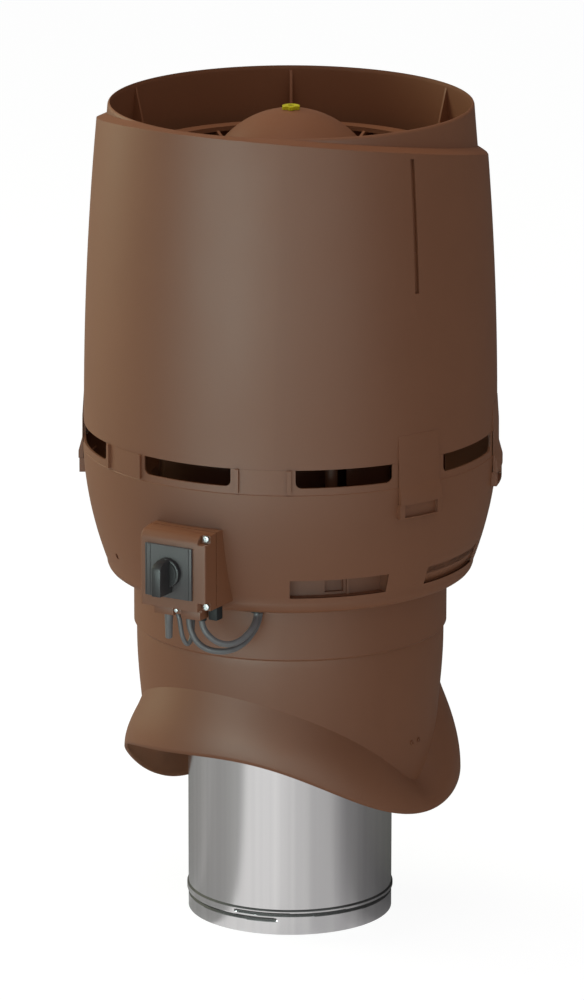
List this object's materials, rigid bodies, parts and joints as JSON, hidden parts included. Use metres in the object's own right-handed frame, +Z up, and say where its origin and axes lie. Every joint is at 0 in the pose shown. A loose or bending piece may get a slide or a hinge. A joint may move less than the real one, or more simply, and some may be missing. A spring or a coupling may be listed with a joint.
{
  "type": "roof exhaust fan",
  "caption": "Round roof exhaust fan: insulated roof pipe with saddle skirt, slotted casing, slanted hat with domed vertical outlet, isolator switch and centrifugal impeller.",
  "frame": {"origin": "centre of the duct's open lower end", "axes": "+Z up along the duct and fan axis, -Y towards the isolator switch, +X to the right seen from the switch side"},
  "size_m": [0.402, 0.4523, 0.8067],
  "materials": {
    "casing_brown": "fine textured brown plastic",
    "duct_steel": "bright stainless sheet",
    "zinc_sheet": "zinc plated sheet",
    "motor_steel": "machined and laminated steel",
    "copper_winding": "varnished copper wire",
    "black_plastic": "satin black plastic",
    "plate_grey": "dark grey satin plate",
    "cable_grey": "grey cable sheath",
    "rubber_black": "matt black rubber",
    "foam": "pale insulation wool",
    "nut_yellow": "glossy yellow plastic"
  },
  "bodies": {
    "casing": {"duct_pipe": "duct_steel", "duct_insulation": "foam", "roof_pipe": "casing_brown", "skirt_screws": "black_plastic", "lower_casing": "casing_brown", "fan_deck": "zinc_sheet", "deck_screws": "zinc_sheet", "inlet_cone": "zinc_sheet", "support_posts": "zinc_sheet", "damper_bushes": "rubber_black", "plate_screws": "zinc_sheet", "motor_plate": "zinc_sheet", "motor_flange": "motor_steel", "flange_screws": "zinc_sheet", "stator_core": "motor_steel", "stator_windings": "copper_winding", "lower_bearing": "motor_steel", "upper_bearing": "motor_steel", "tie_rod": "zinc_sheet", "rod_nut": "zinc_sheet", "dome_cover": "casing_brown", "guard_ring": "casing_brown", "hand_nut": "nut_yellow", "outlet_ring": "casing_brown", "hat_shroud": "casing_brown", "switch_base": "casing_brown", "switch_gasket": "rubber_black", "switch_cover": "casing_brown", "cover_screws": "zinc_sheet", "switch_plate": "plate_grey", "contact_block": "plate_grey", "switch_glands": "black_plastic", "blanking_plug": "cable_grey", "twin_grommet": "black_plastic", "supply_cable": "cable_grey", "motor_cable": "cable_grey", "earth_lead": "cable_grey"},
    "rotor": {"motor_shaft": "motor_steel", "rotor_bell": "motor_steel", "impeller_back_plate": "zinc_sheet", "impeller_blades": "zinc_sheet", "impeller_front_ring": "zinc_sheet"},
    "knob": {"switch_shaft": "motor_steel", "switch_knob": "black_plastic"}
  },
  "joints": [
    {"name": "rotor_spin", "type": "hinge", "parent": "casing", "child": "rotor", "pos_m": [0, 0, 0.5], "axis": [0, 0, 1], "continuous": true},
    {"name": "knob_turn", "type": "hinge", "parent": "casing", "child": "knob", "pos_m": [0, -0.226, 0.394], "axis": [0, 1, 0], "range_deg": [0, 90]}
  ]
}
